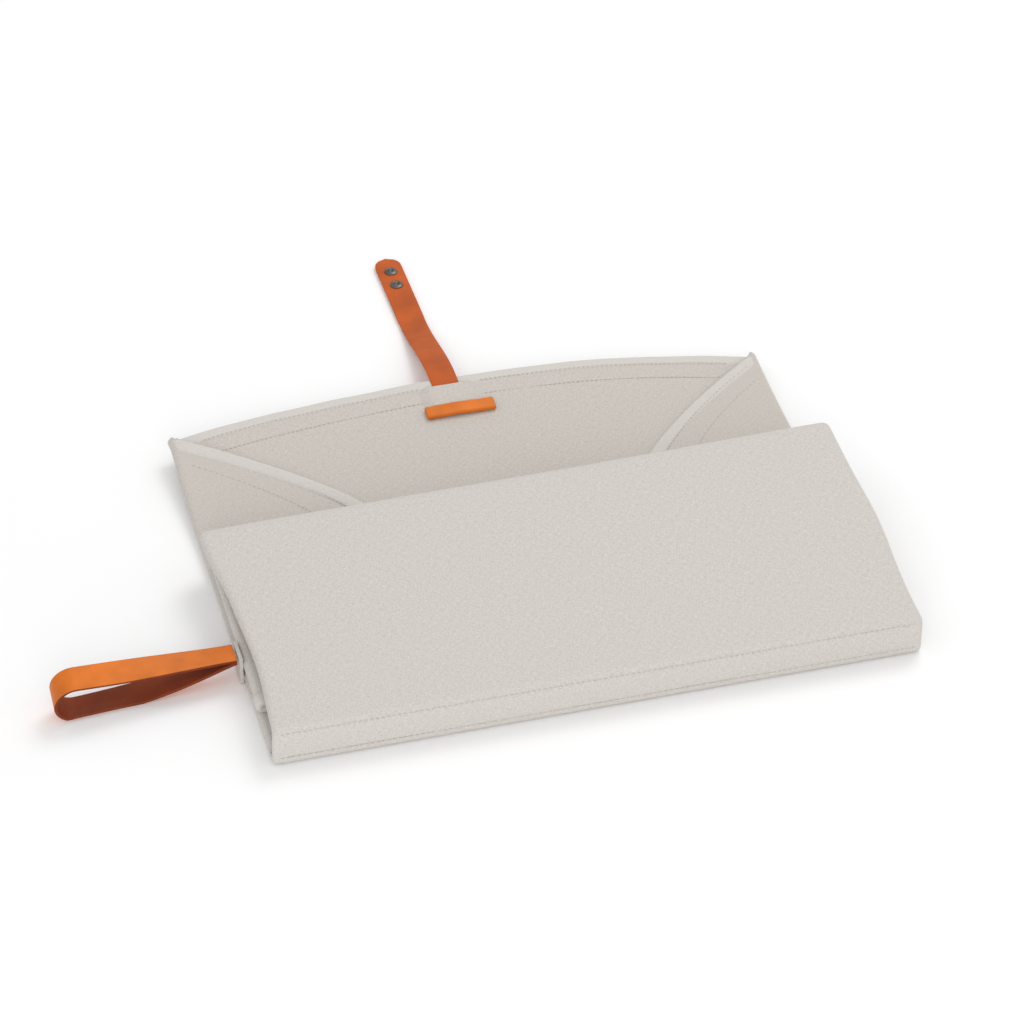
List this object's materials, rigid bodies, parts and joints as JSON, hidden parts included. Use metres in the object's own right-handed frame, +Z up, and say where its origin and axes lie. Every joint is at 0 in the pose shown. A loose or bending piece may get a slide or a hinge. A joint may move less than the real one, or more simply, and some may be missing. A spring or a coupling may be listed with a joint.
{
  "type": "changing mat",
  "caption": "Folding changing mat with folded-in wings, a flap with a leather strap that wraps round the spine onto snaps, and a leather wrist loop.",
  "frame": {"origin": "centre of the back section's underside, on the surface that the mat lies on", "axes": "+X along the spine, +Y from the spine towards the flap, +Z up"},
  "size_m": [0.4896, 0.4656, 0.037],
  "materials": {
    "cover_cloth": "melange linen-look weave, matt",
    "lining_cloth": "melange linen-look weave, matt",
    "binding_tape": "plain folded tape, matt",
    "wadding": "soft wadding",
    "leather": "smooth tanned leather, satin",
    "snap_metal": "dark nickel",
    "thread": "polyester thread"
  },
  "bodies": {
    "back": {"back_shell": "cover_cloth", "back_padding": "wadding", "back_lining": "lining_cloth", "back_side_folds": "cover_cloth", "back_wing_left": "cover_cloth", "back_wing_right": "cover_cloth", "back_wing_bindings": "binding_tape", "stud_patch": "leather", "stud_posts": "snap_metal", "stud_caps": "snap_metal", "loop_tab": "cover_cloth"},
    "spine": {"spine_shell": "cover_cloth", "spine_padding": "wadding", "spine_lining": "lining_cloth"},
    "front": {"front_shell": "cover_cloth", "front_padding": "wadding", "front_lining": "lining_cloth", "front_side_folds": "cover_cloth", "front_wing_left": "cover_cloth", "front_wing_right": "cover_cloth", "front_wing_bindings": "binding_tape", "rear_fold": "cover_cloth", "inner_shell": "cover_cloth", "inner_padding": "wadding", "inner_lining": "lining_cloth", "inner_side_folds": "cover_cloth", "inner_wing_left": "cover_cloth", "inner_wing_right": "cover_cloth", "inner_wing_bindings": "binding_tape", "inner_end_binding": "binding_tape"},
    "flap": {"flap_shell": "cover_cloth", "flap_padding": "wadding", "flap_lining": "lining_cloth", "flap_side_folds": "cover_cloth", "arc_binding": "binding_tape", "flap_wing_left": "cover_cloth", "flap_wing_right": "cover_cloth", "flap_wing_binding_left": "binding_tape", "flap_wing_binding_right": "binding_tape", "slot_bridge": "lining_cloth", "toggle_bar": "leather"},
    "strap_root": {"strap_root": "leather"},
    "strap_upper": {"strap_upper": "leather"},
    "strap_middle": {"strap_middle": "leather"},
    "strap_tip": {"strap_tip": "leather", "snap_sockets": "snap_metal", "snap_caps": "snap_metal"},
    "wrist_loop": {"wrist_loop": "leather", "loop_stitches": "thread"}
  },
  "joints": [
    {"name": "front_open", "type": "hinge", "parent": "back", "child": "spine", "pos_m": [0, -0.09, 0], "axis": [-1, 0, 0], "range_deg": [-90, 0]},
    {"name": "front_fold", "type": "hinge", "parent": "spine", "child": "front", "pos_m": [0, -0.09, 0.025], "axis": [-1, 0, 0], "range_deg": [-86, 0]},
    {"name": "flap_fold", "type": "hinge", "parent": "back", "child": "flap", "pos_m": [0, 0.1, 0.02478], "axis": [1, 0, 0], "range_deg": [0, 178]},
    {"name": "strap_lift", "type": "hinge", "parent": "flap", "child": "strap_root", "pos_m": [-0.0125, 0.21619, 0.01562], "axis": [-1, 0, 0], "range_deg": [-100, 0]},
    {"name": "strap_drape", "type": "hinge", "parent": "strap_root", "child": "strap_upper", "pos_m": [-0.0125, 0.23315, 0.01687], "axis": [1, 0, 0], "range_deg": [0, 25.3]},
    {"name": "strap_upper_bend", "type": "hinge", "parent": "strap_upper", "child": "strap_middle", "pos_m": [-0.0125, 0.29115, 0.0036], "axis": [1, 0, 0], "range_deg": [0, 68]},
    {"name": "strap_lower_bend", "type": "hinge", "parent": "strap_middle", "child": "strap_tip", "pos_m": [-0.0125, 0.32065, 0.0029], "axis": [1, 0, 0], "range_deg": [0, 89]},
    {"name": "loop_swing", "type": "hinge", "parent": "back", "child": "wrist_loop", "pos_m": [-0.19538, -0.007, 0.015], "axis": [-0.1045, 0.9945, 0], "range_deg": [0, 80]}
  ],
  "couplings": [
    {"joint": "front_fold", "follows": "front_open", "ratio": 0.9555}
  ]
}
